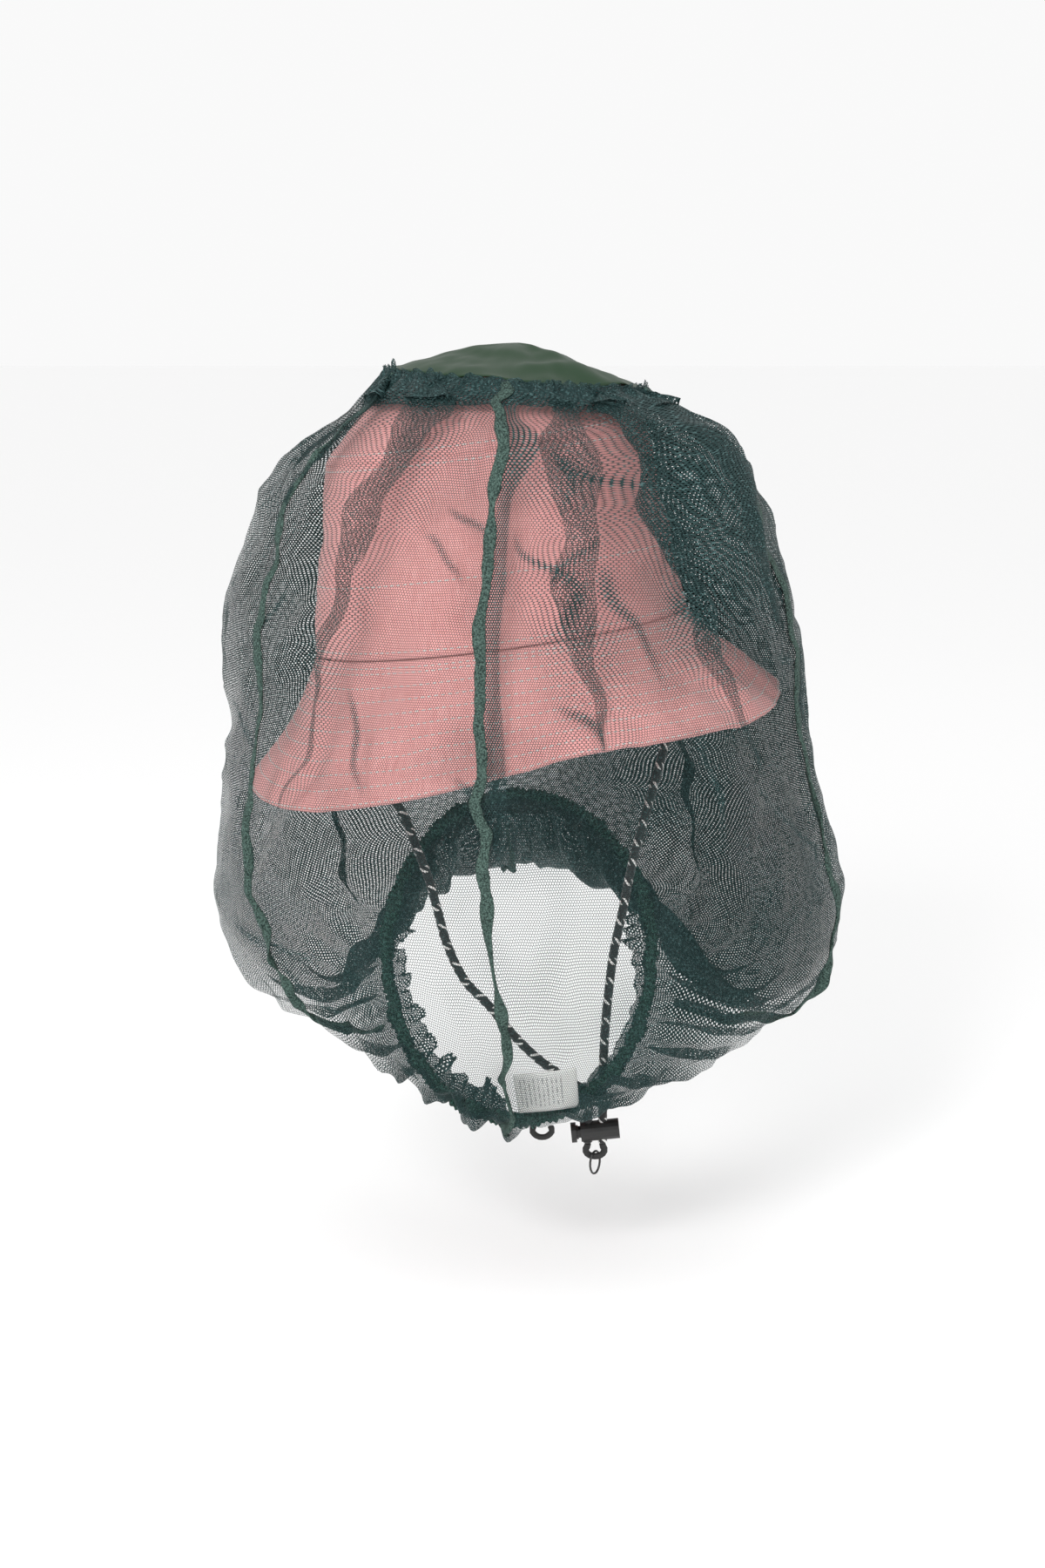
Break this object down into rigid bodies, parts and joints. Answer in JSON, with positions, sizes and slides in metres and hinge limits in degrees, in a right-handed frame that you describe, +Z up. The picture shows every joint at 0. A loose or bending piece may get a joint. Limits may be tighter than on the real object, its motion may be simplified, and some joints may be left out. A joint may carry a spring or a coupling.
{
  "type": "insect head net over bucket hat",
  "caption": "Mesh head net with cloth top and elastic neck hem, worn over a cotton bucket hat with chin cord and cord lock; keeps bees off face and neck.",
  "frame": {"origin": "middle of the hat's head opening, which is the middle of the wearer's head at hat-band height", "axes": "+Z up along the wearer's head, the face looks along -Y, +X is to the right when the face is looked at"},
  "size_m": [0.3238, 0.296, 0.4304],
  "materials": {
    "pink_cotton": "matt slub cotton",
    "sweatband_cotton": "matt twill tape",
    "tab_webbing": "woven tape",
    "flecked_cord": "round braid with white flecks",
    "black_wire": "coated wire",
    "black_plastic": "fine matt moulding",
    "spring_steel": "drawn wire",
    "green_cap_cloth": "thin plain cloth with a slight sheen",
    "green_net": "fine knitted mesh",
    "green_binding": "overlocked thread edge",
    "elastic_braid": "ribbed elastic",
    "label_satin": "white satin tape",
    "loop_cord": "twisted cord"
  },
  "bodies": {
    "hat": {"crown_tip": "pink_cotton", "crown_side_front": "pink_cotton", "crown_side_back": "pink_cotton", "brim_upper": "pink_cotton", "brim_under": "pink_cotton", "sweatband": "sweatband_cotton", "cord_tab_left": "tab_webbing", "cord_tab_right": "tab_webbing", "chin_cord_left": "flecked_cord", "chin_cord_right": "flecked_cord", "cord_end_loop": "flecked_cord"},
    "ring": {"end_ring": "black_wire"},
    "lock": {"lock_barrel": "black_plastic", "lock_spring": "spring_steel"},
    "plunger": {"lock_plunger": "black_plastic"},
    "net": {"top_cap": "green_cap_cloth", "header_band": "green_net", "net_front_left": "green_net", "net_front_right": "green_net", "net_back_right": "green_net", "net_back_left": "green_net", "seam_front": "green_binding", "seam_right": "green_binding", "seam_back": "green_binding", "seam_left": "green_binding", "hem_casing": "green_binding", "hem_elastic": "elastic_braid", "care_label": "label_satin", "hem_loop": "loop_cord"}
  },
  "joints": [
    {"name": "net_lift", "type": "slide", "parent": "hat", "child": "net", "axis": [0, 0, 1], "range_m": [0, 0.03]},
    {"name": "lock_slide", "type": "slide", "parent": "hat", "child": "lock", "axis": [0, 0, 1], "range_m": [0, 0.008]},
    {"name": "plunger_press", "type": "slide", "parent": "lock", "child": "plunger", "axis": [0.9945, 0, 0.1045], "range_m": [0, 0.002], "stiffness_N_per_m": 1200, "springref_m": -0.0005, "deforming": ["lock_spring"]},
    {"name": "ring_swing", "type": "hinge", "parent": "hat", "child": "ring", "pos_m": [0.04945, -0.05, -0.2731], "axis": [1, 0, 0], "range_deg": [-25, 25]}
  ]
}
